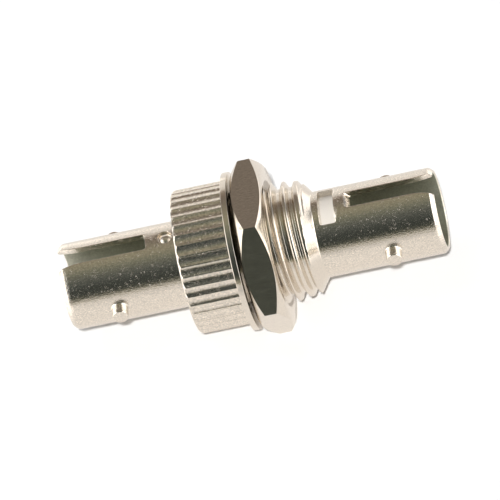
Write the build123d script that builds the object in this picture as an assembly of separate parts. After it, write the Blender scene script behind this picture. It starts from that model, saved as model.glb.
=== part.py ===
from build123d import *
import math
import os

# Bulkhead coupling with a bayonet barrel at each end, for 2.5 mm fibre ferrules.
# Millimetres. The axis is X and the origin is the middle of the alignment sleeve.
# +X points to the mouth on the threaded side, +Z to the key slots, and the
# bayonet lugs point along +Y and -Y. It lies on a flat of its nut, at -Z.

# Lengths of the body between the two barrels
collar_length = 4.3
shank_length = 6.8

# Bayonet barrels
barrel_bore = 6.0
barrel_wall = 0.525
mouth_chamfer_length = 0.38
mouth_chamfer_depth = 0.28
mouth_bore_chamfer = 0.1
barrel_root_blend = 0.2
socket_margin = 0.45

# Key slots, with a flared mouth and a sloping blind end
key_slot_width = 1.57
key_slot_length = 7.3
key_slot_run_out = 0.46
key_flare_length = 2.0
key_flare_depth = 0.35

# Bayonet lugs, two to a barrel
lug_diameter = 1.4
lug_height = 0.875
lug_setback = 4.2
lug_tip_chamfer = 0.14

# Openings in the barrel walls, and the bosses of the sleeve holder in them
window_width = 3.6
window_length = 1.25
window_setback = 0.55
window_web = 0.9
peep_hole_diameter = 1.2
peep_hole_setback = 1.05
peep_boss_rise = 0.3

# Threaded shank. The thread is drawn as plain rings at its pitch, and its last
# crests are cut down before the cone that ends it on the barrel
thread_diameter = 9.9
thread_pitch = 1.0
thread_depth = 0.65
thread_crest = 0.24
thread_taper_length = 2.6
thread_taper_depth = 0.33
shank_cone_angle = 54.0
shank_cone_reach = 0.2
spigot_step = 0.75
spigot_chamfer = 0.15

# Knurled collar
collar_diameter = 11.8
collar_web = 0.9
collar_rear_chamfer = 0.28
groove_count = 42
groove_width = 0.8
groove_depth = 0.13

# Panel washer and nut
washer_thickness = 0.5
washer_clearance = 0.1
washer_edge_chamfer = 0.06
nut_wall = 1.5
nut_thickness = 2.5
nut_gap = 0.3
nut_face_step = 0.1
nut_chamfer_angle = 31.0
nut_clearance = 0.05
nut_countersink = 0.25

# Sleeve holder, in two halves that meet at their flanges
seat_step = 0.2
holder_clearance = 0.02
boss_clearance = 0.05
holder_end_chamfer = 0.2
flange_thickness = 0.6
flange_clearance = 0.2
lip_clearance = 0.2
lip_countersink = 0.55

# Split alignment sleeve
sleeve_bore = 2.5
sleeve_wall = 0.35
sleeve_length = 11.4
sleeve_slit = 0.5
sleeve_chamfer = 0.12
sleeve_clearance = 0.05
sleeve_end_play = 0.2

# Radii
bore_radius = barrel_bore / 2
barrel_radius = bore_radius + barrel_wall
thread_radius = thread_diameter / 2
spigot_radius = thread_radius - spigot_step
collar_radius = collar_diameter / 2
nut_bore_radius = thread_radius + nut_clearance
flat_radius = nut_bore_radius + nut_wall
washer_radius = flat_radius
seat_radius = bore_radius - seat_step
holder_radius = seat_radius - holder_clearance
flange_radius = spigot_radius - flange_clearance
sleeve_radius = sleeve_bore / 2 + sleeve_wall
pocket_radius = sleeve_radius + sleeve_clearance
lip_radius = sleeve_bore / 2 + lip_clearance

# Stations along the axis
barrel_length = window_setback + window_length + window_web + key_slot_length
mouth_x = barrel_length + (collar_length + shank_length) / 2
shank_end_x = mouth_x - barrel_length
collar_rear_x = -shank_end_x
shoulder_x = collar_rear_x + collar_length
spigot_end_x = collar_rear_x + collar_web + 2 * flange_thickness
parting_x = spigot_end_x - flange_thickness
socket_floor_x = parting_x - flange_thickness
washer_front_x = shoulder_x + washer_thickness
nut_rear_x = washer_front_x + nut_gap
nut_front_x = nut_rear_x + nut_thickness
socket_depth = key_slot_length + socket_margin
seat_end_x = mouth_x - socket_depth
pocket_end_x = sleeve_length / 2 + sleeve_end_play
cone_end_x = shank_end_x + shank_cone_reach
cone_fall = thread_radius - thread_taper_depth - barrel_radius
cone_top_x = cone_end_x - cone_fall / math.tan(math.radians(shank_cone_angle))

# Cutters reach this far past the faces that they open
overcut = 1.0


def turned(outline):
    """Solid of revolution about the axis, from its (x, radius) corners."""
    return revolve(make_face(Polyline(*outline, close=True)), Axis.X)


def barrel_end():
    """Outline of the front barrel's mouth, the plug's socket and its floor."""
    return [
        (mouth_x - mouth_chamfer_length, barrel_radius),
        (mouth_x, barrel_radius - mouth_chamfer_depth),
        (mouth_x, bore_radius + mouth_bore_chamfer),
        (mouth_x - mouth_bore_chamfer, bore_radius),
        (seat_end_x, bore_radius),
        (seat_end_x, seat_radius),
    ]


def to_rear(outline):
    """An outline turned end for end, for the rear barrel."""
    return [(-x, radius) for x, radius in outline]


def lug_pair():
    """Two round bayonet lugs on the front barrel, rooted inside its wall."""
    root = bore_radius + barrel_wall / 2
    tip = barrel_radius + lug_height
    lug = Cylinder(lug_diameter / 2, tip - root, align=(Align.CENTER, Align.CENTER, Align.MIN))
    lug = chamfer(lug.edges().sort_by(Axis.Z)[-1], lug_tip_chamfer)
    lug_x = mouth_x - lug_setback
    lug = Pos(lug_x, root, 0) * Rot(X=-90) * lug
    return [lug, mirror(lug, Plane.XZ)]


def key_slot():
    """Cutter for the front key slot: parallel sides, flared mouth, sloping end."""
    half_width = key_slot_width / 2
    flare_x = mouth_x - key_flare_length
    flare_half_width = half_width + key_flare_depth
    outer_end_x = mouth_x - key_slot_length
    inner_end_x = outer_end_x + key_slot_run_out
    outside_x = mouth_x + overcut
    end = Polyline(
        (flare_x, half_width),
        (inner_end_x, half_width),
        (inner_end_x, -half_width),
        (flare_x, -half_width),
    )
    lower_flare = TangentArc((flare_x, -half_width), (mouth_x, -flare_half_width), tangent=(1, 0))
    mouth = Polyline(
        (mouth_x, -flare_half_width),
        (outside_x, -flare_half_width),
        (outside_x, flare_half_width),
        (mouth_x, flare_half_width),
    )
    upper_flare = TangentArc((flare_x, half_width), (mouth_x, flare_half_width), tangent=(1, 0))
    plan = make_face([*end.edges(), lower_flare, *mouth.edges(), upper_flare])
    slot = Pos(0, 0, bore_radius / 2) * extrude(plan, amount=barrel_radius)
    slope = key_slot_run_out / barrel_wall
    top_z = barrel_radius + overcut
    wedge_outline = Polyline(
        (inner_end_x, 0, bore_radius),
        (inner_end_x, 0, top_z),
        (inner_end_x - slope * (top_z - bore_radius), 0, top_z),
        close=True,
    )
    wedge = extrude(make_face(wedge_outline), amount=half_width, both=True)
    return slot + wedge


def window(margin=0.0):
    """The wide window through the key side of the front barrel, less a margin all round."""
    block = Box(
        window_length - 2 * margin,
        window_width - 2 * margin,
        barrel_radius + overcut,
        align=(Align.CENTER, Align.CENTER, Align.MIN),
    )
    return Pos(shank_end_x + window_setback + window_length / 2, 0, 0) * block


def peep_hole(margin=0.0):
    """The round hole through the key side of the rear barrel, less a margin all round."""
    drill = Cylinder(
        peep_hole_diameter / 2 - margin,
        barrel_radius + overcut,
        align=(Align.CENTER, Align.CENTER, Align.MIN),
    )
    return Pos(collar_rear_x - peep_hole_setback, 0, 0) * drill


def crest_radius(x):
    """Radius over the thread at that station: full, then tapering to the cone."""
    into_taper = max(0.0, x - (cone_top_x - thread_taper_length)) / thread_taper_length
    return thread_radius - thread_taper_depth * into_taper


def thread_outline():
    """Crests and V grooves of the thread, from the shoulder to the top of the cone."""
    grooves = int((cone_top_x - shoulder_x - thread_crest / 2) / thread_pitch)
    outline = [(shoulder_x, crest_radius(shoulder_x))]
    for i in range(grooves, 0, -1):
        crest_end_x = cone_top_x - i * thread_pitch
        next_crest_x = crest_end_x + thread_pitch - thread_crest
        outline += [
            (crest_end_x, crest_radius(crest_end_x)),
            ((crest_end_x + next_crest_x) / 2, thread_radius - thread_depth),
            (next_crest_x, crest_radius(next_crest_x)),
        ]
    return outline + [(cone_top_x, crest_radius(cone_top_x))]


def make_threaded_body():
    """Front barrel, threaded shank and the spigot that presses into the collar."""
    slope = math.radians(shank_cone_angle)
    blend = barrel_root_blend
    body = turned([
        (spigot_end_x, seat_radius),
        (spigot_end_x, spigot_radius - spigot_chamfer),
        (spigot_end_x + spigot_chamfer, spigot_radius),
        (shoulder_x, spigot_radius),
        *thread_outline(),
        (cone_end_x - blend * math.cos(slope), barrel_radius + blend * math.sin(slope)),
        (cone_end_x + blend, barrel_radius),
        *barrel_end(),
    ])
    return body + lug_pair() - key_slot() - window()


def knurl_grooves():
    """Shallow V flutes along the whole collar, the first in line with the key slot."""
    section = Polyline(
        (collar_radius - groove_depth, 0),
        (collar_radius + groove_depth, groove_width),
        (collar_radius + groove_depth, -groove_width),
        close=True,
    )
    sections = PolarLocations(0, groove_count, start_angle=90) * make_face(section)
    start = Plane.YZ.offset(collar_rear_x - overcut)
    return extrude(start * Sketch(sections), amount=collar_length + 2 * overcut)


def make_knurled_body():
    """Rear barrel and the knurled collar, with the socket for the spigot."""
    blend = barrel_root_blend
    body = turned([
        (socket_floor_x, seat_radius),
        (socket_floor_x, spigot_radius),
        (shoulder_x, spigot_radius),
        (shoulder_x, collar_radius),
        (collar_rear_x + collar_rear_chamfer, collar_radius),
        (collar_rear_x, collar_radius - collar_rear_chamfer),
        (collar_rear_x, barrel_radius + blend),
        (collar_rear_x - blend, barrel_radius),
        *to_rear(barrel_end()),
    ])
    body = body - knurl_grooves()
    body = body + [mirror(lug, Plane.YZ) for lug in lug_pair()]
    return body - mirror(key_slot(), Plane.YZ) - peep_hole()


def make_panel_washer():
    """Flat washer between the panel and the nut."""
    inner = thread_radius + washer_clearance
    edge = washer_edge_chamfer
    return turned([
        (shoulder_x, inner),
        (shoulder_x, washer_radius - edge),
        (shoulder_x + edge, washer_radius),
        (washer_front_x - edge, washer_radius),
        (washer_front_x, washer_radius - edge),
        (washer_front_x, inner),
    ])


def make_hex_nut():
    """Hexagon nut with both faces chamfered, a flat up and a flat down."""
    corner = flat_radius / math.cos(math.radians(30))
    face_radius = flat_radius - nut_face_step
    rise = (corner - face_radius) * math.tan(math.radians(nut_chamfer_angle))
    sink = nut_countersink
    hexagon = RegularPolygon(flat_radius, 6, major_radius=False)
    prism = extrude(Plane.YZ.offset(nut_rear_x) * hexagon, amount=nut_thickness)
    envelope = turned([
        (nut_rear_x, nut_bore_radius + sink),
        (nut_rear_x, face_radius),
        (nut_rear_x + rise, corner),
        (nut_front_x - rise, corner),
        (nut_front_x, face_radius),
        (nut_front_x, nut_bore_radius + sink),
        (nut_front_x - sink, nut_bore_radius),
        (nut_rear_x + sink, nut_bore_radius),
    ])
    return prism & envelope


def holder_half(flange_x):
    """Half of the sleeve holder: flange, tube, pocket and lip, towards +X."""
    face_x = flange_x + flange_thickness
    return turned([
        (flange_x, pocket_radius),
        (flange_x, flange_radius),
        (face_x, flange_radius),
        (face_x, holder_radius),
        (seat_end_x - holder_end_chamfer, holder_radius),
        (seat_end_x, holder_radius - holder_end_chamfer),
        (seat_end_x, lip_radius + lip_countersink),
        (seat_end_x - lip_countersink, lip_radius),
        (pocket_end_x, lip_radius),
        (pocket_end_x, pocket_radius),
    ])


def boss(opening, top_radius):
    """Low boss that stands up from the holder's wall into an opening of the body."""
    root = (pocket_radius + holder_radius) / 2
    return opening & turned([
        (-mouth_x, root),
        (-mouth_x, top_radius),
        (mouth_x, top_radius),
        (mouth_x, root),
    ])


def make_sleeve_holder():
    """Long half of the sleeve holder, through the shank, with a boss in the window."""
    return holder_half(parting_x) + boss(window(boss_clearance), bore_radius)


def make_holder_cap():
    """Short half of the sleeve holder, through the collar, with a boss in the hole."""
    plug = boss(peep_hole(boss_clearance), bore_radius + peep_boss_rise)
    return mirror(holder_half(-parting_x), Plane.YZ) + plug


def make_alignment_sleeve():
    """Split spring sleeve that lines up the two ferrules."""
    inner = sleeve_bore / 2
    end = sleeve_length / 2
    tube = turned([
        (-end, inner + sleeve_chamfer),
        (-end, sleeve_radius),
        (end, sleeve_radius),
        (end, inner + sleeve_chamfer),
        (end - sleeve_chamfer, inner),
        (-end + sleeve_chamfer, inner),
    ])
    slit = Box(
        sleeve_length + overcut,
        sleeve_slit,
        sleeve_radius + overcut,
        align=(Align.CENTER, Align.CENTER, Align.MAX),
    )
    return tube - slit


nodes = {
    "threaded_body": make_threaded_body(),
    "knurled_body": make_knurled_body(),
    "panel_washer": make_panel_washer(),
    "hex_nut": make_hex_nut(),
    "sleeve_holder": make_sleeve_holder(),
    "holder_cap": make_holder_cap(),
    "alignment_sleeve": make_alignment_sleeve(),
}

os.makedirs("parts", exist_ok=True)
for name, solid in nodes.items():
    export_step(solid, f"parts/{name}.step")
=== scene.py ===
import math
from functools import partial

import bmesh
import bpy
from bpy.props import FloatProperty, FloatVectorProperty, IntProperty, PointerProperty
from mathutils import Matrix, Vector


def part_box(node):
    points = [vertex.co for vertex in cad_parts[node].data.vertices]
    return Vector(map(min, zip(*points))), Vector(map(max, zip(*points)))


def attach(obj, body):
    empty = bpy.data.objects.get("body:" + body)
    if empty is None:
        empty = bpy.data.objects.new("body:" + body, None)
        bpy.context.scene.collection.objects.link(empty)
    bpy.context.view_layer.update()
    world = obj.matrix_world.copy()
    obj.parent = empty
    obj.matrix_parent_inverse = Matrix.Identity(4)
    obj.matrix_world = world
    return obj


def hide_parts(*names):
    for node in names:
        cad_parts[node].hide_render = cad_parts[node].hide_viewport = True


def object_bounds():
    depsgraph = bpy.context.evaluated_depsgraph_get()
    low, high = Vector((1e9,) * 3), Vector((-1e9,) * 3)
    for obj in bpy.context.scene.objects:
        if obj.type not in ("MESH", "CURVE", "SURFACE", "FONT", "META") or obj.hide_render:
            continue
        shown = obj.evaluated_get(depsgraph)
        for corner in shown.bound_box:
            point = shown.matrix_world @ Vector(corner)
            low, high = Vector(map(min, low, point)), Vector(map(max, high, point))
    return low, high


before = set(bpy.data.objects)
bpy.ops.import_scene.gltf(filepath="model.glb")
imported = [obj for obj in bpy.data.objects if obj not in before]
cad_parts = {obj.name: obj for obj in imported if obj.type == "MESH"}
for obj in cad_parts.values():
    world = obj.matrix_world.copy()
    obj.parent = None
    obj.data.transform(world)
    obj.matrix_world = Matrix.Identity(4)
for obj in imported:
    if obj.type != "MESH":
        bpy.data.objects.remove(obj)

bl_info = {
    "name": "Bayonet Fibre Coupling",
    "version": (1, 0, 0),
    "blender": (4, 5, 0),
    "location": "View3D > Sidebar > Coupling",
    "description": "Dresses a panel coupling with two bayonet barrels for fibre plugs",
    "category": "Add Mesh",
}

# The axis of the coupling is X, with the threaded side towards +X. Angles round
# the axis are measured from +Y towards +Z, so the key slots are at a quarter turn.
MM = 0.001
TURN = 2 * math.pi
KEY_ANGLE = math.pi / 2
WELD = 0.001 * MM

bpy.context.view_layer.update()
MOUTH_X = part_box("threaded_body")[1].x
SPIGOT_END_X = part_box("threaded_body")[0].x
SHOULDER_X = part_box("knurled_body")[1].x
COLLAR_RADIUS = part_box("knurled_body")[1].y
NUT_REAR_X, NUT_FRONT_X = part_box("hex_nut")[0].x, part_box("hex_nut")[1].x
FLAT_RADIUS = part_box("hex_nut")[1].z
WASHER_REAR_X, WASHER_FRONT_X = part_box("panel_washer")[0].x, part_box("panel_washer")[1].x
WASHER_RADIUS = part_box("panel_washer")[1].z
FLOOR_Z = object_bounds()[0].z

# Facets round the axis, and rows of facets along one pitch of each thread.
AROUND, WASHER_AROUND = 192, 256
SHANK_ROWS, NUT_ROWS = 28, 20

# Material slots of the bodies and the nut: cast or milled, worked outside, and bored.
PLAIN_SLOT, WORKED_SLOT, BORE_SLOT = 0, 1, 2

# Smooth shading breaks at edges sharper than this.
CREASE_ANGLE = math.radians(32.0)

# The pressed joint between the two bodies, which doesn't show from outside.
SPIGOT_RADIUS, SPIGOT_CHAMFER = 4.2 * MM, 0.15 * MM
SOCKET_RADIUS, SOCKET_RIM, SOCKET_FLOOR_X = 4.2 * MM, 4.4 * MM, 4.65 * MM


def length(name, millimetres, description):
    """A length property, with its default in millimetres."""
    return FloatProperty(
        name=name, description=description, default=millimetres * MM, min=0.0, precision=5,
        unit="LENGTH",
    )


def rotation(name, degrees, description):
    """An angle property, with its default in degrees."""
    return FloatProperty(
        name=name, description=description, default=math.radians(degrees), unit="ROTATION",
    )


def colour(name, value, description):
    """A linear colour property of the finish group."""
    return FloatVectorProperty(
        name=name, description=description, default=value, size=3, min=0.0, max=1.0,
        subtype="COLOR",
    )


class BarrelSizes(bpy.types.PropertyGroup):
    bore: length("Bore Radius", 3.0, "Inside radius of the plug's socket")
    seat: length("Seat Radius", 2.8, "Inside radius that holds the sleeve holder")
    wall: length("Wall", 0.525, "Wall of the barrel round the socket")
    run: length("Length", 10.0, "Length of a barrel from its root to its mouth")
    socket: length("Socket Depth", 7.75, "Depth of the wide bore from the mouth")
    mouth_run: length("Mouth Chamfer Length", 0.38, "Length of the mouth's outer chamfer")
    mouth_drop: length("Mouth Chamfer Depth", 0.28, "Depth of the mouth's outer chamfer")
    lip: length("Bore Chamfer", 0.1, "Chamfer at the edge of the bore")
    slot_width: length("Slot Width", 1.57, "Width of the key slot")
    slot_length: length("Slot Length", 7.3, "Length of the key slot from the mouth")
    slot_run_out: length("Slot Run-out", 0.46, "How far the front slot's end slopes inwards")
    rear_run_out: length("Rear Slot Run-out", 0.05, "How far the rear slot's end slopes inwards")
    slot_corner: length("Slot Corner", 0.18, "Corner radius at the slot's blind end")
    flare_length: length("Flare Length", 2.0, "Length of the slot's flared mouth")
    flare_depth: length("Flare Depth", 0.35, "How far each side of the flare opens")
    edge: length("Edge Radius", 0.045, "Rounding of the edges round the openings")
    lug_radius: length("Lug Radius", 0.67, "Radius of a bayonet lug")
    lug_height: length("Lug Height", 0.9, "Height of a lug above the wall")
    lug_setback: length("Lug Setback", 4.2, "Distance of the lugs from the mouth")
    lug_edge: length("Lug Edge", 0.09, "Rounding of a lug's tip")
    lug_fillet: length("Lug Fillet", 0.12, "Fillet at a lug's root")


class OpeningSizes(bpy.types.PropertyGroup):
    window_width: length("Window Width", 3.6, "Width of the window across the barrel")
    window_length: length("Window Length", 1.25, "Length of the window along the barrel")
    window_setback: length("Window Setback", 0.55, "Distance of the window from the root")
    window_corner: length("Window Corner", 0.12, "Corner radius of the window")
    window_draft: length("Window Draft", 0.1, "How far the window closes in towards the bore")
    peep_radius: length("Peep Hole Radius", 0.6, "Radius of the hole in the rear barrel")
    peep_setback: length("Peep Hole Setback", 1.05, "Distance of the hole from the collar")
    plug_depth: length("Plug Depth", 0.32, "How far the plug's rim lies below the barrel")
    plug_rise: length("Plug Rise", 0.3, "Height of the plug's dome above its rim")


class ThreadSizes(bpy.types.PropertyGroup):
    pitch: length("Pitch", 1.0, "Advance of the thread in one turn")
    crest: length("Crest Radius", 4.93, "Radius over the shank's thread")
    offset: length("Offset", 0.58, "How far along the axis a crest lies at the key slot")
    depth: length("Depth", 0.65, "Height of the thread")
    crest_flat: length("Crest Flat", 0.05, "Width of the flat at the crest")
    rounding: length("Rounding", 0.16, "Rounding of the shank's crests and roots")
    nut_rounding: length("Nut Rounding", 0.08, "Rounding of the nut's crests and roots")
    taper_run: length("Taper Length", 2.4, "Length over which the last crests run out")
    taper_drop: length("Taper Depth", 0.36, "How far the last crest is cut down")
    clearance: length("Clearance", 0.04, "Gap between the nut's thread and the shank's")
    countersink: length("Countersink", 0.25, "Chamfer at each end of the nut's thread")
    relief: length("Relief", 0.08, "How far the neck is cut below the thread's root")
    cone_reach: length("Cone Reach", 0.02, "How far the cone runs past the shank's end")
    root_blend: length("Root Blend", 0.1, "Length of the curve from the cone to the barrel")
    flank_angle: rotation("Flank Angle", 62.0, "Slope of the thread's flanks from the axis")
    cone_angle: rotation("Cone Angle", 54.0, "Slope of the cone at the shank's end")


class CollarSizes(bpy.types.PropertyGroup):
    chamfer: length("Rear Chamfer", 0.16, "Chamfer at the rear of the collar")
    front_edge: length("Front Edge", 0.03, "Broken edge at the front of the collar")
    flute_depth: length("Flute Depth", 0.115, "Depth of a hollow flute between two crests")
    crest_width: length("Crest Width", 0.053, "Width of the narrow land on a crest")
    flutes: IntProperty(
        name="Flutes", description="Number of flutes round the collar", default=42, min=8
    )
    first_crest: rotation("First Crest", 3.24, "Angle from the key slot to the nearest crest")


class NutSizes(bpy.types.PropertyGroup):
    face_step: length("Face Step", 0.1, "How far the face stops inside the flats")
    washer_gap: length("Washer Gap", 0.1, "Gap between the washer and the thread")
    washer_edge: length("Washer Edge", 0.05, "Rounding of the washer's edges")
    chamfer_angle: rotation("Chamfer Angle", 31.0, "Slope of the chamfer from the front face")
    rear_chamfer_angle: rotation(
        "Rear Chamfer Angle", 38.0, "Slope of the chamfer from the rear face"
    )


class FinishColours(bpy.types.PropertyGroup):
    nickel: colour("Nickel", (0.80, 0.75, 0.68), "Nickel plate")
    # The bore's colour is painted shade: darker and greener than the nickel outside, it stands in
    # for the shade inside the barrels.
    bore: colour("Bore", (0.54, 0.55, 0.47), "Dull plate inside the barrels")
    polymer: colour("Polymer", (0.68, 0.64, 0.585), "Moulded sleeve holder")
    bronze: colour("Bronze", (0.62, 0.44, 0.22), "Spring bronze of the alignment sleeve")


class StageSettings(bpy.types.PropertyGroup):
    azimuth: rotation("Azimuth", 10.675, "Direction that the camera looks from")
    elevation: rotation("Elevation", 46.494, "Height of the camera above the horizon")
    roll: rotation("Roll", -19.558, "Turn of the camera about its own axis")
    key_lead: rotation("Key Lead", 3.0, "Angle between the key lamp and the camera")
    distance: length("Distance", 800.0, "Distance of the camera from the coupling")
    lens: FloatProperty(
        name="Lens", description="Focal length for a 36 mm sensor", default=712.66, min=1.0
    )
    aside: length("Aside", 0.305, "How far left of the axis the camera points")
    below: length("Below", 0.113, "How far below the axis the camera points")


# ---------------------------------------------------------------- mesh helpers


def point(x, radius, angle):
    """A point at that station, distance and angle round the axis."""
    return Vector((x, radius * math.cos(angle), radius * math.sin(angle)))


def ring(bm, segments, locate):
    """A closed row of vertices; locate gives (x, radius) at each angle."""
    row = []
    for i in range(segments):
        angle = KEY_ANGLE + TURN * i / segments
        row.append(bm.verts.new(point(*locate(angle), angle)))
    return row


def join_rows(bm, rows, material=PLAIN_SLOT, closed=True):
    """Faces between each row of vertices and the next. A closed row meets its own start."""
    for near, far in zip(rows, rows[1:]):
        count = len(near)
        for i in range(count if closed else count - 1):
            j = (i + 1) % count
            bm.faces.new((near[i], near[j], far[j], far[i])).material_index = material


def lathe(bm, outline, segments, material=PLAIN_SLOT):
    """Turns an outline about the axis. A corner is (x, radius), or a function of the angle."""
    join_rows(bm, [
        ring(bm, segments, corner if callable(corner) else lambda angle, c=corner: c)
        for corner in outline
    ], material)


def circle(radius, count):
    """Points (x, y) spaced evenly round a circle."""
    angles = [TURN * i / count for i in range(count)]
    return [(radius * math.cos(angle), radius * math.sin(angle)) for angle in angles]


def arc(x, y, radius, start, swing, steps):
    """Points (x, y) of an arc round a centre, from its start angle through its swing."""
    angles = [start + i / steps * swing for i in range(steps + 1)]
    return [(x + radius * math.cos(angle), y + radius * math.sin(angle)) for angle in angles]


def fillet(corner, before, after, radius, steps=4):
    """Points of an arc that rounds the corner between two straight runs of an outline."""
    corner, before, after = Vector(corner), Vector(before), Vector(after)
    to_before, to_after = (before - corner).normalized(), (after - corner).normalized()
    half = to_before.angle(to_after) / 2
    centre = corner + (to_before + to_after).normalized() * radius / math.sin(half)
    start = corner + to_before * radius / math.tan(half) - centre
    stop = corner + to_after * radius / math.tan(half) - centre
    swing = start.angle(stop)
    points = []
    for i in range(steps + 1):
        t = i / steps
        offset = (
            start * math.sin((1 - t) * swing) + stop * math.sin(t * swing)
        ) / math.sin(swing)
        points.append(tuple(centre + offset))
    return points


def rounded(outline, radii):
    """A closed outline with each corner that has a radius rounded."""
    made = []
    count = len(outline)
    for i, (corner, radius) in enumerate(zip(outline, radii)):
        if radius:
            made += fillet(corner, outline[i - 1], outline[(i + 1) % count], radius)
        else:
            made.append(tuple(corner))
    return made


def to_mesh(bm, name):
    """Turns what was built into a mesh."""
    mesh = bpy.data.meshes.new(name)
    bm.to_mesh(mesh)
    bm.free()
    return mesh


def add_object(name, data):
    """A new object of the scene."""
    added = bpy.data.objects.new(name, data)
    bpy.context.scene.collection.objects.link(added)
    return added


def add_piece(bm, name, makers, body, node):
    """Makes a smooth-shaded piece of what was built, on its body and for its CAD node."""
    bmesh.ops.remove_doubles(bm, verts=bm.verts[:], dist=WELD)
    bmesh.ops.dissolve_degenerate(bm, edges=bm.edges[:], dist=WELD / 10)
    bmesh.ops.recalc_face_normals(bm, faces=bm.faces[:])
    mesh = to_mesh(bm, name)
    for maker in makers:
        mesh.materials.append(shared(maker))
    mesh.shade_smooth()
    mesh.set_sharp_from_angle(angle=CREASE_ANGLE)
    piece = add_object(name, mesh)
    weighted = piece.modifiers.new("Weighted Normals", "WEIGHTED_NORMAL")
    weighted.keep_sharp = True
    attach(piece, body)
    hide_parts(node)


# ---------------------------------------------------------------- node helpers


def feed(tree, socket, value):
    """Links an input to another node's output, or sets it to a value."""
    if isinstance(value, bpy.types.NodeSocket):
        tree.links.new(value, socket)
    else:
        socket.default_value = value


def maths(tree, operation, *terms):
    """A Math node fed by numbers or by other nodes' outputs."""
    node = tree.nodes.new("ShaderNodeMath")
    node.operation = operation
    for socket, term in zip(node.inputs, terms):
        feed(tree, socket, term)
    return node.outputs[0]


def place(tree, kind, inputs=None, **settings):
    """A node of that kind with its settings, and its inputs fed by name or number."""
    node = tree.nodes.new(kind)
    for name, value in settings.items():
        setattr(node, name, value)
    for name, value in (inputs or {}).items():
        feed(tree, node.inputs[name], value)
    return node


def split(tree, vector):
    """The X, Y and Z outputs of a vector, by name."""
    return place(tree, "ShaderNodeSeparateXYZ", {"Vector": vector}).outputs


def smooth_range(tree, value, start, stop, at_start, at_stop):
    """Eases from one value to another while the input runs from start to stop."""
    return place(tree, "ShaderNodeMapRange", {
        "Value": value, "From Min": start, "From Max": stop, "To Min": at_start, "To Max": at_stop,
    }, interpolation_type="SMOOTHSTEP").outputs[0]


def mix(tree, share, without, within):
    """Mixes two shaders: the first where the share is 0, the second where it is 1."""
    return place(tree, "ShaderNodeMixShader", {"Fac": share, 1: without, 2: within}).outputs[0]


def new_group(name, kind, inputs, outputs):
    """A node group with named sockets, given as (name, type, default)."""
    tree = bpy.data.node_groups.new(name, kind)
    for label, socket_type, default in inputs:
        socket = tree.interface.new_socket(label, in_out="INPUT", socket_type=socket_type)
        if default is not None:
            socket.default_value = default
    for label, socket_type in outputs:
        tree.interface.new_socket(label, in_out="OUTPUT", socket_type=socket_type)
    return tree, tree.nodes.new("NodeGroupInput").outputs, tree.nodes.new("NodeGroupOutput").inputs


def grow(tree, values, base=None):
    """Runs a Geometry Nodes tree with the given inputs and returns a plain mesh."""
    holder = add_object(tree.name, base or bpy.data.meshes.new(tree.name))
    modifier = holder.modifiers.new(tree.name, "NODES")
    modifier.node_group = tree
    for item in tree.interface.items_tree:
        if item.item_type == "SOCKET" and item.in_out == "INPUT" and item.name in values:
            modifier[item.identifier] = values[item.name]
    evaluated = holder.evaluated_get(bpy.context.evaluated_depsgraph_get())
    mesh = bpy.data.meshes.new_from_object(evaluated)
    holder.modifiers.remove(modifier)
    bpy.data.objects.remove(holder)
    if not mesh.polygons:
        raise RuntimeError(f"{tree.name} made no faces")
    return mesh


def end_tree(tree, geometry, material, output):
    """Ends a Geometry Nodes tree in real geometry, welded, with its material."""
    whole = place(tree, "GeometryNodeRealizeInstances", {"Geometry": geometry})
    welded = place(tree, "GeometryNodeMergeByDistance", {
        "Geometry": whole.outputs[0], "Distance": WELD,
    })
    painted = place(tree, "GeometryNodeSetMaterial", {
        "Geometry": welded.outputs[0], "Material": material,
    })
    tree.links.new(painted.outputs[0], output)
    return tree


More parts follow.
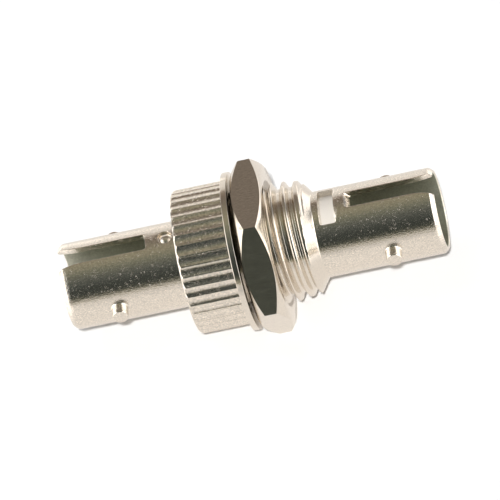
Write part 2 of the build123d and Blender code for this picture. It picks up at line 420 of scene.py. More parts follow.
def thread_tree():
    """Geometry Nodes: a helical thread as a sheared tube, cut back by a cone at each end."""
    tree, given, made = new_group(
        "Helical Thread",
        "GeometryNodeTree",
        [
            ("Pitch", "NodeSocketFloat", MM),
            ("Offset", "NodeSocketFloat", 0.0),
            ("Crest Radius", "NodeSocketFloat", 5 * MM),
            ("Root Radius", "NodeSocketFloat", 4.4 * MM),
            ("Crest Flat", "NodeSocketFloat", 0.1 * MM),
            ("Flank Slope", "NodeSocketFloat", 1.8),
            ("Rounding", "NodeSocketFloat", 0.1 * MM),
            ("Start", "NodeSocketFloat", 0.0),
            ("End", "NodeSocketFloat", 5 * MM),
            ("End Radius", "NodeSocketFloat", 4.3 * MM),
            ("End Slope", "NodeSocketFloat", 1.0),
            ("Taper Start", "NodeSocketFloat", 4 * MM),
            ("Taper Slope", "NodeSocketFloat", 0.0),
            ("Side", "NodeSocketFloat", 1.0),
            ("Around", "NodeSocketInt", AROUND),
            ("Rows", "NodeSocketInt", 100),
            ("Material", "NodeSocketMaterial", None),
        ],
        [("Geometry", "NodeSocketGeometry")],
    )
    calc = partial(maths, tree)
    travel = calc("SUBTRACT", given["End"], given["Start"])
    grid = place(tree, "GeometryNodeMeshGrid", {
        "Size X": calc("ADD", travel, given["Pitch"]),
        "Size Y": 1.0,
        "Vertices X": given["Rows"],
        "Vertices Y": calc("ADD", given["Around"], 1),
    })
    where = split(tree, place(tree, "GeometryNodeInputPosition").outputs[0])
    turns = where["Y"]
    middle = calc("MULTIPLY", calc("ADD", given["Start"], given["End"]), 0.5)
    sheared = calc("ADD", calc("MULTIPLY_ADD", turns, given["Pitch"], where["X"]), middle)
    x = calc("MINIMUM", calc("MAXIMUM", sheared, given["Start"]), given["End"])

    # The thread's own radius: flanks that fall from the nearest crest to the root.
    from_crest = calc("DIVIDE", calc("SUBTRACT", x, given["Offset"]), given["Pitch"])
    off_crest = calc("PINGPONG", calc("SUBTRACT", from_crest, turns), 0.5)
    off_crest = calc("MULTIPLY", off_crest, given["Pitch"])
    past_flat = calc("SUBTRACT", off_crest, calc("MULTIPLY", given["Crest Flat"], 0.5))
    fall = calc("MULTIPLY", past_flat, given["Flank Slope"])
    flank = calc("SUBTRACT", given["Crest Radius"], fall)
    past_taper = calc("MAXIMUM", calc("SUBTRACT", x, given["Taper Start"]), 0.0)
    drop = calc("MULTIPLY", past_taper, given["Taper Slope"])
    crest = calc("SUBTRACT", given["Crest Radius"], drop)
    thread = calc("SMOOTH_MIN", flank, crest, given["Rounding"])
    thread = calc("SMOOTH_MAX", thread, given["Root Radius"], given["Rounding"])

    # The cone at each end. It narrows a shank, and opens a bore, whose side is -1.
    from_start = calc("SUBTRACT", x, given["Start"])
    to_end = calc("MINIMUM", from_start, calc("SUBTRACT", given["End"], x))
    end_radius = calc("MULTIPLY", given["End Radius"], given["Side"])
    cone = calc("MULTIPLY_ADD", to_end, given["End Slope"], end_radius)
    kept = calc("MINIMUM", calc("MULTIPLY", thread, given["Side"]), cone)
    radius = calc("MULTIPLY", kept, given["Side"])

    angle = calc("MULTIPLY_ADD", turns, TURN, KEY_ANGLE)
    moved = place(tree, "GeometryNodeSetPosition", {
        "Geometry": grid.outputs["Mesh"],
        "Position": place(tree, "ShaderNodeCombineXYZ", {
            "X": x,
            "Y": calc("MULTIPLY", radius, calc("COSINE", angle)),
            "Z": calc("MULTIPLY", radius, calc("SINE", angle)),
        }).outputs[0],
    })
    return end_tree(tree, moved.outputs[0], given["Material"], made["Geometry"])


def grow_thread(thread, start, end, rows_per_turn, values):
    """Grows the shank's thread or the nut's, from one station on the axis to another."""
    return grow(thread_tree(), {
        "Pitch": thread.pitch,
        "Offset": thread.offset,
        "Flank Slope": math.tan(thread.flank_angle),
        "Start": start,
        "End": end,
        "Around": AROUND,
        "Rows": int((end - start + thread.pitch) / thread.pitch * rows_per_turn) + 1,
        "Material": shared(turned_nickel),
        **values,
    })


def knurl_tree():
    """Geometry Nodes: copies one flute round the axis and welds the copies to a ring."""
    tree, given, made = new_group(
        "Knurl Ring",
        "GeometryNodeTree",
        [
            ("Flute", "NodeSocketGeometry", None),
            ("Flutes", "NodeSocketInt", 42),
            ("Material", "NodeSocketMaterial", None),
        ],
        [("Geometry", "NodeSocketGeometry")],
    )
    step = maths(tree, "DIVIDE", TURN, given["Flutes"])
    turn = maths(tree, "MULTIPLY", place(tree, "GeometryNodeInputIndex").outputs[0], step)
    spots = place(tree, "GeometryNodePoints", {"Count": given["Flutes"]})
    copies = place(tree, "GeometryNodeInstanceOnPoints", {
        "Points": spots.outputs[0],
        "Instance": given["Flute"],
        "Rotation": place(tree, "ShaderNodeCombineXYZ", {"X": turn}).outputs[0],
    })
    return end_tree(tree, copies.outputs[0], given["Material"], made["Geometry"])


# ------------------------------------------------------------------ materials


def grain_group():
    """Shader group: the fine pebbled skin of a plated casting, with bright specks."""
    if "Cast Grain" in bpy.data.node_groups:
        return bpy.data.node_groups["Cast Grain"]
    tree, given, made = new_group(
        "Cast Grain",
        "ShaderNodeTree",
        [
            ("Vector", "NodeSocketVector", None),
            ("Colour", "NodeSocketColor", (1.0, 1.0, 1.0, 1.0)),
            ("Grain Size", "NodeSocketFloat", 0.2 * MM),
            ("Roughness", "NodeSocketFloat", 0.2),
            ("Spread", "NodeSocketFloat", 0.1),
            ("Mottle", "NodeSocketFloat", 0.1),
            ("Pits", "NodeSocketFloat", 0.1),
        ],
        [
            ("Colour", "NodeSocketColor"),
            ("Height", "NodeSocketFloat"),
            ("Roughness", "NodeSocketFloat"),
        ],
    )
    calc = partial(maths, tree)
    scale = calc("DIVIDE", 1.0, given["Grain Size"])
    fine = place(tree, "ShaderNodeTexNoise", {
        "Vector": given["Vector"], "Scale": scale, "Detail": 2.0, "Roughness": 0.6,
    }).outputs["Fac"]
    broad = place(tree, "ShaderNodeTexNoise", {
        "Vector": given["Vector"], "Scale": calc("MULTIPLY", scale, 0.3), "Detail": 3.0,
    }).outputs["Fac"]
    cells = place(tree, "ShaderNodeTexVoronoi", {
        "Vector": given["Vector"], "Scale": scale,
    }).outputs

    # A share of the cells have a pit: a cone with a flat rim round it.
    chance = place(tree, "ShaderNodeSeparateColor", {"Color": cells["Color"]}).outputs["Red"]
    pitted = calc("GREATER_THAN", chance, calc("SUBTRACT", 1.0, given["Pits"]))
    pit_radius, pit_slope = 0.2, 4.0
    pit = calc("MULTIPLY", calc("MINIMUM", cells["Distance"], pit_radius), pit_slope)
    feed(tree, made["Height"], calc("MULTIPLY_ADD", pit, pitted, fine))

    uneven = calc("SUBTRACT", broad, 0.5)
    rough = calc("MULTIPLY_ADD", uneven, given["Spread"], given["Roughness"])
    feed(tree, made["Roughness"], rough)
    speckled = calc("SUBTRACT", fine, 0.5)
    toned = place(tree, "ShaderNodeVectorMath", {
        "Vector": given["Colour"],
        "Scale": calc("MULTIPLY_ADD", speckled, given["Mottle"], 1.0),
    }, operation="SCALE")
    feed(tree, made["Colour"], toned.outputs[0])
    return tree


def object_coordinates(tree):
    """Coordinates that stay with the piece when it moves."""
    return place(tree, "ShaderNodeTexCoord").outputs["Object"]


def dress(
    name, tint, relief, size, roughness, spread, mottle, pits=0.0, along=1.0, metallic=1.0,
):
    """A material whose colour, roughness and relief come from the grain group.

    The tint names a colour of the finish group, the relief and the size of the grain are in
    millimetres, and along scales the grain along the axis: below 1 it is drawn out.
    """
    material = bpy.data.materials.new(name)
    material.use_nodes = True
    tree = material.node_tree
    where = object_coordinates(tree)
    if along != 1.0:
        where = place(tree, "ShaderNodeMapping", {
            "Vector": where, "Scale": (along, 1.0, 1.0),
        }).outputs[0]
    skin = place(tree, "ShaderNodeGroup", {
        "Vector": where,
        "Colour": (*getattr(bpy.context.scene.coupling_finish, tint), 1.0),
        "Grain Size": size * MM,
        "Roughness": roughness,
        "Spread": spread,
        "Mottle": mottle,
        "Pits": pits,
    }, node_tree=grain_group()).outputs
    bump = place(tree, "ShaderNodeBump", {
        "Height": skin["Height"], "Strength": 1.0, "Distance": relief * MM,
    })
    shader = tree.nodes["Principled BSDF"].inputs
    feed(tree, shader["Metallic"], metallic)
    feed(tree, shader["Base Color"], skin["Colour"])
    feed(tree, shader["Roughness"], skin["Roughness"])
    feed(tree, shader["Normal"], bump.outputs[0])
    return material


def cast_nickel():
    """Plated casting: satin nickel over a finely pitted skin."""
    return dress(
        "cast_nickel", "nickel", relief=0.015, size=0.12, roughness=0.17, spread=0.1,
        mottle=0.8, pits=0.05,
    )


def knurled_nickel():
    """Plated knurl: satin nickel, rougher and more pitted than the casting round it."""
    return dress(
        "knurled_nickel", "nickel", relief=0.012, size=0.15, roughness=0.22, spread=0.15,
        mottle=1.0, pits=0.07,
    )


def bore_nickel_painted_shade():
    """Plated bore: dull, unpolished nickel, in a colour darkened as painted shade for the inside
    of the barrels.
    """
    return dress(
        "bore_nickel_painted_shade", "bore", relief=0.009, size=0.16, roughness=0.45, spread=0.1,
        mottle=0.6, pits=0.05,
    )


def turned_nickel():
    """Plated turning: bright nickel with a faint unevenness."""
    return dress(
        "turned_nickel", "nickel", relief=0.005, size=0.16, roughness=0.14, spread=0.1,
        mottle=0.25,
    )


def milled_nickel():
    """Plated hexagon bar: bright nickel with the faintest of drawn lines along the bar."""
    return dress(
        "milled_nickel", "nickel", relief=0.002, size=0.13, roughness=0.15, spread=0.1,
        mottle=0.35, along=0.35,
    )


def moulded_polymer():
    """Moulded white polymer of the sleeve holder."""
    return dress(
        "moulded_polymer", "polymer", relief=0.004, size=0.2, roughness=0.38, spread=0.1,
        mottle=0.08, metallic=0.0,
    )


def spring_bronze():
    """Drawn bronze of the alignment sleeve, with faint lines along it."""
    return dress(
        "spring_bronze", "bronze", relief=0.003, size=0.15, roughness=0.22, spread=0.2,
        mottle=0.3, along=0.1,
    )


def shared(maker):
    """The material that a maker builds, built once."""
    return bpy.data.materials.get(maker.__name__) or maker()


# -------------------------------------------------------------------- barrels

LEDGE = 0.02 * MM  # Length of the step from the socket to the seat.
RAMP_SETBACK = 0.05 * MM  # How far before the opening its sides already lean in full.
ROUNDED_ANGLE = math.radians(40)  # Edges of the wall sharper than this are rounded.
MOUTH_CUTS = 5  # Cuts along the outer chamfer of the mouth.
MOUTH_POWER = 1.35  # Power of that chamfer's curve.


def slot_side(sizes):
    """One side of the key slot, from the middle of its blind end to the mouth, as (x, y).

    Also gives how many of these points lie at the blind end, which slopes inwards.
    """
    half = sizes.slot_width / 2
    end_x = MOUTH_X - sizes.slot_length
    corner = sizes.slot_corner
    points = [(end_x, 0.0)]
    points += arc(end_x + corner, half - corner, corner, math.pi, -math.pi / 2, 5)
    sloping = len(points)
    run, depth = sizes.flare_length, sizes.flare_depth
    radius = (run * run + depth * depth) / (2 * depth)
    steps = 12
    for i in range(steps + 1):
        along = run * i / steps
        points.append((
            MOUTH_X - run + along,
            half + radius - math.sqrt(radius * radius - along * along),
        ))
    return points, sloping


def window_side(openings, root_x):
    """Half of the window's edge, as (x, y)."""
    start = root_x + openings.window_setback
    stop = start + openings.window_length
    half = openings.window_width / 2
    corner = openings.window_corner
    return [
        (start, 0.0),
        *arc(start + corner, half - corner, corner, math.pi, -math.pi / 2, 4),
        *arc(stop - corner, half - corner, corner, math.pi / 2, -math.pi / 2, 4),
        (stop, 0.0),
    ]


def peep_side(openings, root_x):
    """Half of the round hole's edge, as (x, y)."""
    centre = root_x + openings.peep_setback
    radius = openings.peep_radius
    steps = 20
    return [
        (
            centre - radius * math.cos(math.pi * i / steps),
            radius * math.sin(math.pi * i / steps),
        )
        for i in range(steps + 1)
    ]


def wall_outline(sizes, opening, root_x, run_out, draft):
    """Half of the edge of a barrel's unrolled wall, with the opening's side and the slot's.

    A corner is (x outside, x inside, width outside, width inside, whether the edge that
    leaves it is a real edge of the wall).
    """
    outer = sizes.bore + sizes.wall
    half_turn = math.pi * outer
    slot, sloping = slot_side(sizes)

    def unrolled(y):
        return outer * math.asin(y / outer)

    middle = (opening[0][0] + opening[-1][0]) / 2
    half_length = middle - opening[0][0]
    half_width = max(y for x, y in opening)
    outline = [(root_x, root_x, 0.0, 0.0, False)]
    for x, y in opening:
        inner_x = x - (x - middle) * draft / half_length
        outline.append((x, inner_x, unrolled(y), unrolled(y * (1 - draft / half_width)), True))
    outline[-1] = (*outline[-1][:4], False)
    for i, (x, y) in enumerate(slot):
        inner_x = x + run_out if i < sloping else x
        outline.append((x, inner_x, unrolled(y), unrolled(y), True))
    outline.append((MOUTH_X, MOUTH_X, half_turn, half_turn, False))
    outline.append((root_x, root_x, half_turn, half_turn, False))
    return outline


def flat_wall(sizes, outline):
    """The unrolled wall as a plate with both its halves, its real edges rounded."""
    bm = bmesh.new()
    for side in (1, -1):
        top = [bm.verts.new((x, side * u, sizes.wall)) for x, _, u, _, _ in outline]
        bottom = [bm.verts.new((x, side * u, 0.0)) for _, x, _, u, _ in outline]
        bm.faces.new(top)
        bm.faces.new(bottom).material_index = BORE_SLOT
        for i, (_, _, _, _, walled) in enumerate(outline):
            if walled:
                bm.faces.new((top[i], top[i + 1], bottom[i + 1], bottom[i]))
    bmesh.ops.remove_doubles(bm, verts=bm.verts[:], dist=WELD)
    bmesh.ops.recalc_face_normals(bm, faces=bm.faces[:])
    sharp = [
        e for e in bm.edges
        if len(e.link_faces) == 2
        and e.calc_face_angle(0.0) > ROUNDED_ANGLE
        and abs(e.verts[0].co.z - e.verts[1].co.z) < WELD
    ]
    bmesh.ops.bevel(
        bm, geom=sharp, offset=sizes.edge, offset_type="OFFSET", segments=2,
        profile=0.5, affect="EDGES", clamp_overlap=True,
    )
    bmesh.ops.triangulate(bm, faces=bm.faces[:])
    return bm


def barrel_wall(sizes, opening, root_x, segments, run_out, draft=0.0):
    """The wall of a barrel: cut out flat, its edges rounded, and rolled round the axis."""
    outer = sizes.bore + sizes.wall
    reach = max(y for x, y in opening + slot_side(sizes)[0])
    widest = math.asin(reach / outer)
    bm = flat_wall(sizes, wall_outline(sizes, opening, root_x, run_out, draft))

    def cut(station, direction):
        bmesh.ops.bisect_plane(
            bm, geom=bm.verts[:] + bm.edges[:] + bm.faces[:], dist=WELD / 10,
            plane_co=station, plane_no=direction,
        )

    step = TURN * outer / segments
    for i in range(1 - segments // 2, segments // 2):
        cut((0, i * step, 0), (0, 1, 0))
    socket_x = MOUTH_X - sizes.socket
    ramp_x = min(x for x, y in opening) - RAMP_SETBACK
    stations = [socket_x - LEDGE, socket_x, ramp_x, MOUTH_X - sizes.lip]
    stations += [MOUTH_X - sizes.mouth_run * i / MOUTH_CUTS for i in range(1, MOUTH_CUTS + 1)]
    for x in stations:
        cut((x, 0, 0), (1, 0, 0))

    # Rolled up, the openings' sides lean, so that they stay parallel to their middle plane.
    for v in bm.verts:
        x, u, depth = v.co
        share = depth / sizes.wall
        inner_r = sizes.bore if x > socket_x - LEDGE / 2 else sizes.seat
        inner_r += max(0.0, x - (MOUTH_X - sizes.lip))
        into_mouth = max(0.0, x - (MOUTH_X - sizes.mouth_run)) / sizes.mouth_run
        outer_r = outer - sizes.mouth_drop * into_mouth ** MOUTH_POWER
        angle = abs(u) / outer
        held = min(angle, widest)
        lean = math.asin(min(1.0, outer * math.sin(held) / inner_r)) - held
        if angle > widest:
            fade = min(1.0, (angle - widest) / (math.pi / 2 - widest))
            lean *= math.cos(fade * math.pi / 2) ** 2
        lean *= min(1.0, (x - root_x) / (ramp_x - root_x))
        angle = math.copysign(angle + lean * (1 - share), u)
        v.co = point(x, inner_r + share * (outer_r - inner_r), KEY_ANGLE + angle)
    return bm


def add_lugs(bm, sizes):
    """Two round lugs with a filleted root and a rounded tip, as closed shells in the wall."""
    outer = sizes.bore + sizes.wall
    centre_x = MOUTH_X - sizes.lug_setback
    around, steps = 40, 5
    quarters = [math.pi / 2 * i / steps for i in range(steps + 1)]

    # Each row is (radius, height, share by which it hugs the barrel).
    profile = [(sizes.lug_radius + sizes.lug_fillet, -sizes.wall / 3, 1.0)]
    for angle in quarters:
        profile.append((
            sizes.lug_radius + sizes.lug_fillet * (1 - math.sin(angle)),
            sizes.lug_fillet * (1 - math.cos(angle)), 1.0,
        ))
    for angle in quarters:
        profile.append((
            sizes.lug_radius - sizes.lug_edge * (1 - math.cos(angle)),
            sizes.lug_height - sizes.lug_edge * (1 - math.sin(angle)), 0.0,
        ))
    for side in (1, -1):
        rows = []
        for distance, height, hugging in profile:
            row = []
            for along, z in circle(distance, around):
                skin = math.sqrt(outer * outer - z * z) * hugging + outer * (1 - hugging)
                row.append(bm.verts.new((centre_x + along, side * (skin + height), z)))
            rows.append(row)
        join_rows(bm, rows)
        bm.faces.new(rows[0])
        bm.faces.new(rows[-1])


def add_plug(bm, sizes, openings, root_x):
    """A domed plug in the peep hole, as a closed shell in the wall."""
    outer = sizes.bore + sizes.wall
    centre_x = root_x + openings.peep_setback
    radius = openings.peep_radius + sizes.edge
    rim = outer - openings.plug_depth
    around, steps = 32, 6
    profile = [(radius, sizes.bore)]
    for i in range(steps + 1):
        share = 1 - i / steps
        profile.append((radius * share, rim + openings.plug_rise * (1 - share ** 2)))
    rows = [
        [bm.verts.new((centre_x + x, y, height)) for x, y in circle(distance, around)]
        for distance, height in profile
    ]
    join_rows(bm, rows)
    bm.faces.new(rows[0])


def mirror_x(bm):
    """Turns what is built for the front barrel end for end, for the rear one."""
    for v in bm.verts:
        v.co.x = -v.co.x


def join_mesh(bm, mesh, material):
    """Adds a grown mesh to a piece, with that material slot."""
    first = len(bm.faces)
    bm.from_mesh(mesh)
    bm.faces.ensure_lookup_table()
    for face in bm.faces[first:]:
        face.material_index = material


def bridge(bm, station, low, high):
    """Closes a flat ring between the two open loops at one station along the axis."""
    edges = [
        e for e in bm.edges
        if len(e.link_faces) == 1
        and all(abs(v.co.x - station) < WELD for v in e.verts)
        and all(low - WELD < math.hypot(v.co.y, v.co.z) < high + WELD for v in e.verts)
    ]
    made = bmesh.ops.bridge_loops(bm, edges=edges)
    for face in made["faces"]:
        face.material_index = PLAIN_SLOT


# Where the rows of a flute stand, as shares of its width.
FLUTE_SHARES = (0.0, 0.03, 0.1, 0.22, 0.36, 0.5, 0.64, 0.78, 0.9, 0.97, 1.0)

# Where a row bends from the rear chamfer to the flute, from the corner, and how softly.
CHAMFER_STATIONS = (-0.07 * MM, -0.025 * MM, 0.025 * MM, 0.07 * MM)
CHAMFER_SOFTNESS = 0.05 * MM

COLLAR_BLEND = 0.2 * MM  # Room for the curve from the collar to its barrel.
CURVE_SHARE = 0.9  # Share of its room that a curve at a barrel's root takes.


def flute_mesh(collar, rear_x):
    """One hollow flute of the collar, from the middle of a crest to the middle of the next."""
    pitch = TURN / collar.flutes
    rim_pitch = pitch * COLLAR_RADIUS
    half = (rim_pitch - collar.crest_width) / 2
    sweep = (half * half + collar.flute_depth ** 2) / (2 * collar.flute_depth)
    rear_radius = COLLAR_RADIUS - collar.chamfer
    front = collar.front_edge
    bm = bmesh.new()
    rows = []
    for share in FLUTE_SHARES:
        off_centre = abs(share - 0.5) * rim_pitch
        cut = math.sqrt(sweep * sweep - min(off_centre, half) ** 2) - sweep
        top = COLLAR_RADIUS - collar.flute_depth - cut
        row = [(rear_x, rear_radius)]
        for offset in CHAMFER_STATIONS:
            along = max(top - rear_radius + offset, WELD)
            low = rear_radius + along - top
            radius = top + (low - math.sqrt(low * low + CHAMFER_SOFTNESS ** 2 / 4)) / 2
            row.append((rear_x + along, radius))
        row += [(SHOULDER_X - front, top), (SHOULDER_X, top - front)]
        angle = collar.first_crest + share * pitch + KEY_ANGLE
        rows.append([bm.verts.new(point(x, radius, angle)) for x, radius in row])
    join_rows(bm, rows, closed=False)
    return to_mesh(bm, "flute")


# ------------------------------------------------------------------ operators


class COUPLING_OT_threaded_body(bpy.types.Operator):
    """Builds the front barrel with its key slot, window and lugs, and the threaded shank"""

    bl_idname = "coupling.threaded_body"
    bl_label = "Threaded Body"

    def execute(self, context):
        scene = context.scene
        sizes, openings = scene.coupling_barrel, scene.coupling_openings
        thread = scene.coupling_thread
        outer = sizes.bore + sizes.wall
        shank_end_x = MOUTH_X - sizes.run
        cone_end_x = shank_end_x + thread.cone_reach
        wall_x = cone_end_x + thread.root_blend
        bm = barrel_wall(
            sizes, window_side(openings, shank_end_x), wall_x, AROUND,
            sizes.slot_run_out, openings.window_draft,
        )
        add_lugs(bm, sizes)

        slope = thread.cone_angle
        root = thread.crest - thread.depth
        end_radius = root - thread.relief
        cone_x = cone_end_x - (end_radius - outer) / math.tan(slope)
        join_mesh(bm, grow_thread(thread, SHOULDER_X, cone_x, SHANK_ROWS, {
            "Crest Radius": thread.crest,
            "Root Radius": root,
            "Crest Flat": thread.crest_flat,
            "Rounding": thread.rounding,
            "End Radius": end_radius,
            "End Slope": math.tan(slope),
            "Taper Start": cone_x - thread.taper_run,
            "Taper Slope": thread.taper_drop / thread.taper_run,
        }), WORKED_SLOT)
        reach = CURVE_SHARE * thread.root_blend * math.tan((math.pi - slope) / 2)
        root_curve = fillet(
            (cone_end_x, outer), (cone_x, end_radius), (wall_x, outer), reach, steps=6,
        )
        lathe(bm, [(cone_x, end_radius), *root_curve, (wall_x, outer)], AROUND, WORKED_SLOT)
        lathe(bm, [
            (SHOULDER_X, end_radius),
            (SHOULDER_X, SPIGOT_RADIUS),
            (SPIGOT_END_X + SPIGOT_CHAMFER, SPIGOT_RADIUS),
            (SPIGOT_END_X, SPIGOT_RADIUS - SPIGOT_CHAMFER),
            (SPIGOT_END_X, sizes.seat),
            (wall_x, sizes.seat),
        ], AROUND)
        add_piece(
            bm, "threaded_body_shell", [cast_nickel, turned_nickel, bore_nickel_painted_shade],
            "adapter", "threaded_body",
        )
        return {"FINISHED"}


class COUPLING_OT_knurled_body(bpy.types.Operator):
    """Builds the rear barrel with its key slot, peep hole and lugs, and the knurled collar"""

    bl_idname = "coupling.knurled_body"
    bl_label = "Knurled Body"

    def execute(self, context):
        scene = context.scene
        sizes, openings = scene.coupling_barrel, scene.coupling_openings
        collar = scene.coupling_collar
        segments = collar.flutes * (len(FLUTE_SHARES) - 1)
        outer = sizes.bore + sizes.wall
        root_x = MOUTH_X - sizes.run
        wall_x = root_x + COLLAR_BLEND
        bm = barrel_wall(
            sizes, peep_side(openings, root_x), wall_x, segments, sizes.rear_run_out,
        )
        add_lugs(bm, sizes)
        add_plug(bm, sizes, openings, root_x)
        rear_ring = outer + COLLAR_BLEND * 2
        root_curve = fillet(
            (root_x, outer), (root_x, rear_ring), (wall_x + COLLAR_BLEND, outer),
            COLLAR_BLEND * CURVE_SHARE,
        )
        lathe(bm, [(root_x, rear_ring), *root_curve, (wall_x, outer)], segments)
        lathe(bm, [
            (wall_x, sizes.seat),
            (SOCKET_FLOOR_X, sizes.seat),
            (SOCKET_FLOOR_X, SOCKET_RADIUS),
            (-SHOULDER_X, SOCKET_RADIUS),
            (-SHOULDER_X, SOCKET_RIM),
        ], segments)
        mirror_x(bm)
        join_mesh(bm, grow(knurl_tree(), {
            "Flutes": collar.flutes,
            "Material": shared(knurled_nickel),
        }, flute_mesh(collar, -root_x)), WORKED_SLOT)
        bridge(bm, -root_x, outer, COLLAR_RADIUS)
        bridge(bm, SHOULDER_X, SOCKET_RADIUS, COLLAR_RADIUS)
        add_piece(
            bm, "knurled_body_shell", [cast_nickel, knurled_nickel, bore_nickel_painted_shade],
            "adapter", "knurled_body",
        )
        return {"FINISHED"}


class COUPLING_OT_panel_washer(bpy.types.Operator):
    """Builds the flat washer behind the nut"""

    bl_idname = "coupling.panel_washer"
    bl_label = "Panel Washer"

    def execute(self, context):
        scene = context.scene
        nut, thread = scene.coupling_nut, scene.coupling_thread
        inner = thread.crest + nut.washer_gap
        edge = nut.washer_edge
        outline = rounded(
            [
                (WASHER_REAR_X, inner),
                (WASHER_REAR_X, WASHER_RADIUS),
                (WASHER_FRONT_X, WASHER_RADIUS),
                (WASHER_FRONT_X, inner),
            ],
            [edge / 2, edge, edge, edge / 2],
        )
        bm = bmesh.new()
        lathe(bm, outline + outline[:1], WASHER_AROUND)
        add_piece(
            bm, "washer_ring", [turned_nickel], "washer", "panel_washer",
        )
        return {"FINISHED"}


class COUPLING_OT_hex_nut(bpy.types.Operator):
    """Builds the hexagon nut with chamfered faces and its own thread"""

    bl_idname = "coupling.hex_nut"
    bl_label = "Hexagon Nut"

    def execute(self, context):
        scene = context.scene
        nut, thread = scene.coupling_nut, scene.coupling_thread
        face_radius = FLAT_RADIUS - nut.face_step
        mouth = thread.crest + thread.clearance + thread.countersink
        side = TURN / 6

        def rim(face_x, inwards, slope):
            """The edge where a chamfer meets the flats, as a corner for the lathe."""
            def corner(angle):
                off_flat = (angle - KEY_ANGLE + side / 2) % side - side / 2
                radius = FLAT_RADIUS / math.cos(off_flat)
                return face_x + inwards * math.tan(slope) * (radius - face_radius), radius
            return corner

        bm = bmesh.new()
        lathe(bm, [
            (NUT_FRONT_X, mouth),
            (NUT_FRONT_X, face_radius),
            rim(NUT_FRONT_X, -1, nut.chamfer_angle),
            rim(NUT_REAR_X, 1, nut.rear_chamfer_angle),
            (NUT_REAR_X, face_radius),
            (NUT_REAR_X, mouth),
        ], AROUND)
        join_mesh(bm, grow_thread(thread, NUT_REAR_X, NUT_FRONT_X, NUT_ROWS, {
            "Crest Radius": thread.crest + thread.clearance,
            "Root Radius": thread.crest - thread.depth + thread.clearance,
            "Crest Flat": thread.crest_flat + thread.clearance,
            "Rounding": thread.nut_rounding,
            "End Radius": mouth,
            "End Slope": 1.0,
            "Side": -1.0,
        }), WORKED_SLOT)
        add_piece(
            bm, "nut_body", [milled_nickel, turned_nickel], "nut", "hex_nut",
        )
        return {"FINISHED"}


class COUPLING_OT_inside_pieces(bpy.types.Operator):
    """Finishes the sleeve holder, its cap and the alignment sleeve"""

    bl_idname = "coupling.inside_pieces"
    bl_label = "Holder and Sleeve"

    def execute(self, context):
        for node, maker in (
            ("sleeve_holder", moulded_polymer),
            ("holder_cap", moulded_polymer),
            ("alignment_sleeve", spring_bronze),
        ):
            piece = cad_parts[node]
            piece.data.materials.clear()
            piece.data.materials.append(shared(maker))
        return {"FINISHED"}


# ---------------------------------------------------------------------- stage

# How strong the floor looks in reflections, by the distance from the part's middle along
# its axis and by the distance in front of it: (start, stop, strength there, and there).
ALONG_FLOOR = (17 * MM, 30 * MM, 0.4, 1.15)
ACROSS_FLOOR = (18 * MM, 60 * MM, 1.0, 0.35)
FLOOR_HALF = 1.5

# The room in reflections, by the angle in degrees from the horizon in front of the part,
# over the top, to the horizon behind it.
ROOM_TONES = (
    (0.0, (0.55, 0.515, 0.40)),
    (3.0, (0.354, 0.333, 0.243)),
    (7.0, (0.125, 0.13, 0.098)),
    (11.0, (0.06, 0.066, 0.054)),
    (16.0, (0.044, 0.05, 0.043)),
    (27.0, (0.05, 0.056, 0.049)),
    (37.0, (0.057, 0.064, 0.057)),
    (57.0, (0.114, 0.121, 0.107)),
    (77.0, (0.20, 0.205, 0.155)),
    (97.0, (0.32, 0.295, 0.21)),
    (133.0, (0.20, 0.168, 0.14)),
    (146.0, (0.27, 0.21, 0.165)),
    (155.0, (0.82, 0.765, 0.70)),
    (163.0, (0.91, 0.862, 0.805)),
)

# The bright panels at both sides of the room, in the form of ALONG_FLOOR: how far they
# have taken over, by how much a direction points along the axis, and how strong they are,
# by how much it points away from the camera.
PANEL_EDGE = (0.42, 0.64, 0.0, 1.0)
PANEL_GLOW = (0.1, 0.5, 2.6, 0.35)

# The key lamp leads the camera upwards and to the left, by these shares of its lead.
KEY_UP, KEY_LEFT = 0.75, 0.66
KEY_STRENGTH, KEY_WIDTH = 3.0, math.radians(2.0)
SOFTBOX_PLACE = Vector((-0.06, 0.02, 0.25))
SOFTBOX_SIZE, SOFTBOX_POWER = 0.12, 0.07


def camera_axes(stage):
    """The camera's right, up and backward directions."""
    azimuth, elevation, roll = stage.azimuth, stage.elevation, stage.roll
    back = Vector((
        math.sin(azimuth) * math.cos(elevation),
        -math.cos(azimuth) * math.cos(elevation),
        math.sin(elevation),
    ))
    level = Vector((math.cos(azimuth), math.sin(azimuth), 0.0))
    upright = back.cross(level)
    right = level * math.cos(roll) + upright * math.sin(roll)
    up = upright * math.cos(roll) - level * math.sin(roll)
    return right, up, back


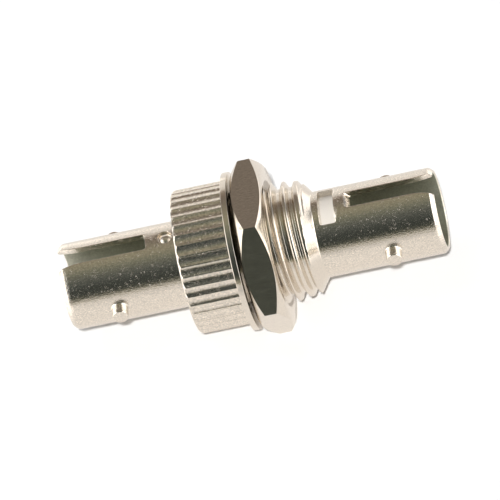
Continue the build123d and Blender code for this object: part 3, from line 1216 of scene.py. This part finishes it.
class COUPLING_OT_stage(bpy.types.Operator):
    """Sets up the floor, the surroundings, the lamps and the camera"""

    bl_idname = "coupling.stage"
    bl_label = "Stage"

    def execute(self, context):
        self.add_floor()
        self.add_world(context.scene)
        self.add_lamps(context.scene)
        self.add_camera(context.scene)
        context.scene.view_settings.view_transform = "Standard"
        return {"FINISHED"}

    def add_floor(self):
        """White paper: paler to the camera, greyer as light, and with a glow in reflections."""
        bm = bmesh.new()
        bmesh.ops.create_grid(bm, x_segments=1, y_segments=1, size=FLOOR_HALF)
        bmesh.ops.translate(bm, vec=(0, 0, FLOOR_Z), verts=bm.verts[:])
        mesh = to_mesh(bm, "floor")
        material = bpy.data.materials.new("floor_paper")
        material.use_nodes = True
        tree = material.node_tree
        tree.nodes.clear()

        def paper(red, green, blue):
            return place(tree, "ShaderNodeBsdfDiffuse", {
                "Color": (red, green, blue, 1.0),
            }).outputs[0]

        where = split(tree, object_coordinates(tree))
        along = smooth_range(tree, maths(tree, "ABSOLUTE", where["X"]), *ALONG_FLOOR)
        across = smooth_range(tree, maths(tree, "MULTIPLY", where["Y"], -1.0), *ACROSS_FLOOR)
        glow = place(tree, "ShaderNodeEmission", {
            "Color": (1.0, 0.945, 0.89, 1.0), "Strength": maths(tree, "MULTIPLY", along, across),
        }).outputs[0]
        mirrored = place(tree, "ShaderNodeAddShader", {0: paper(0.46, 0.437, 0.41), 1: glow})
        path = place(tree, "ShaderNodeLightPath").outputs
        shown = mix(tree, path["Is Camera Ray"], paper(0.7, 0.7, 0.7), paper(0.94, 0.94, 0.94))
        shown = mix(tree, path["Is Glossy Ray"], shown, mirrored.outputs[0])
        place(tree, "ShaderNodeOutputMaterial", {"Surface": shown})
        mesh.materials.append(material)
        add_object("floor", mesh)

    def add_world(self, scene):
        """White to the camera, an even grey as light, and a room with panels in reflections."""
        world = bpy.data.worlds.new("studio")
        world.use_nodes = True
        tree = world.node_tree
        tree.nodes.clear()

        def background(red, green, blue, strength):
            return place(tree, "ShaderNodeBackground", {
                "Color": (red, green, blue, 1.0), "Strength": strength,
            }).outputs[0]

        towards = split(tree, place(tree, "ShaderNodeTexCoord").outputs["Generated"])
        back = maths(tree, "ARCTAN2", towards["Z"], maths(tree, "MULTIPLY", towards["Y"], -1.0))
        ramp = place(tree, "ShaderNodeValToRGB", {"Fac": maths(tree, "DIVIDE", back, math.pi)})
        band = ramp.color_ramp
        while len(band.elements) < len(ROOM_TONES):
            band.elements.new(0.5)
        for element, (degrees, tone) in zip(band.elements, ROOM_TONES):
            element.position = degrees / 180
            element.color = (*tone, 1.0)
        room = place(tree, "ShaderNodeBackground", {"Color": ramp.outputs["Color"]}).outputs[0]
        panel = background(1.0, 0.97, 0.94, smooth_range(tree, towards["Y"], *PANEL_GLOW))
        to_side = smooth_range(tree, maths(tree, "ABSOLUTE", towards["X"]), *PANEL_EDGE)
        mirrored = mix(tree, to_side, room, panel)
        path = place(tree, "ShaderNodeLightPath").outputs
        shown = mix(tree, path["Is Glossy Ray"], background(1.0, 0.99, 0.97, 0.3), mirrored)
        shown = mix(tree, path["Is Camera Ray"], shown, background(1.0, 1.0, 1.0, 1.0))
        place(tree, "ShaderNodeOutputWorld", {"Surface": shown})
        scene.world = world

    def add_lamps(self, scene):
        """A key lamp from just above and left of the camera, and a faint one overhead."""
        stage = scene.coupling_stage
        right, up, back = camera_axes(stage)
        towards = back + (up * KEY_UP - right * KEY_LEFT) * math.tan(stage.key_lead)
        key = bpy.data.lights.new("key_lamp", "SUN")
        key.energy = KEY_STRENGTH
        key.angle = KEY_WIDTH
        overhead = bpy.data.lights.new("overhead_softbox", "AREA")
        overhead.shape = "SQUARE"
        overhead.size = SOFTBOX_SIZE
        overhead.energy = SOFTBOX_POWER
        for lamp, at in ((key, towards.normalized()), (overhead, SOFTBOX_PLACE)):
            holder = add_object(lamp.name, lamp)
            holder.location = at
            holder.rotation_euler = at.to_track_quat("Z", "Y").to_euler()
            holder.visible_glossy = False

    def add_camera(self, scene):
        """A long lens, far off, aimed beside the middle of the coupling as in the photo."""
        stage = scene.coupling_stage
        right, up, back = camera_axes(stage)
        camera = add_object("camera", bpy.data.cameras.new("camera"))
        camera.data.lens = stage.lens
        camera.data.sensor_width = 36.0
        camera.data.clip_start = 0.01
        camera.data.clip_end = 10.0
        camera.matrix_world = Matrix((right, up, back)).transposed().to_4x4()
        camera.location = back * stage.distance - right * stage.aside - up * stage.below
        scene.camera = camera


class COUPLING_PT_sidebar(bpy.types.Panel):
    """Lists the pieces of the coupling and its stage"""

    bl_idname = "COUPLING_PT_sidebar"
    bl_label = "Bayonet Fibre Coupling"
    bl_space_type = "VIEW_3D"
    bl_region_type = "UI"
    bl_category = "Coupling"

    def draw(self, context):
        scene = context.scene
        for group in SIZE_GROUPS:
            box = self.layout.box()
            settings = getattr(scene, group)
            for name in settings.bl_rna.properties.keys():
                if name not in {"rna_type", "name"}:
                    box.prop(settings, name)
        for operator in OPERATORS:
            self.layout.operator(operator.bl_idname)


OPERATORS = (
    COUPLING_OT_threaded_body,
    COUPLING_OT_knurled_body,
    COUPLING_OT_panel_washer,
    COUPLING_OT_hex_nut,
    COUPLING_OT_inside_pieces,
    COUPLING_OT_stage,
)
SIZE_GROUPS = {
    "coupling_barrel": BarrelSizes,
    "coupling_openings": OpeningSizes,
    "coupling_thread": ThreadSizes,
    "coupling_collar": CollarSizes,
    "coupling_nut": NutSizes,
    "coupling_finish": FinishColours,
    "coupling_stage": StageSettings,
}
CLASSES = (*SIZE_GROUPS.values(), *OPERATORS, COUPLING_PT_sidebar)


def register():
    for cls in CLASSES:
        bpy.utils.register_class(cls)
    for name, group in SIZE_GROUPS.items():
        setattr(bpy.types.Scene, name, PointerProperty(type=group))


def unregister():
    for name in SIZE_GROUPS:
        delattr(bpy.types.Scene, name)
    for cls in reversed(CLASSES):
        bpy.utils.unregister_class(cls)


def main():
    register()
    bpy.ops.coupling.threaded_body()
    bpy.ops.coupling.knurled_body()
    bpy.ops.coupling.panel_washer()
    bpy.ops.coupling.hex_nut()
    bpy.ops.coupling.inside_pieces()
    bpy.ops.coupling.stage()


if __name__ == "__main__":
    main()
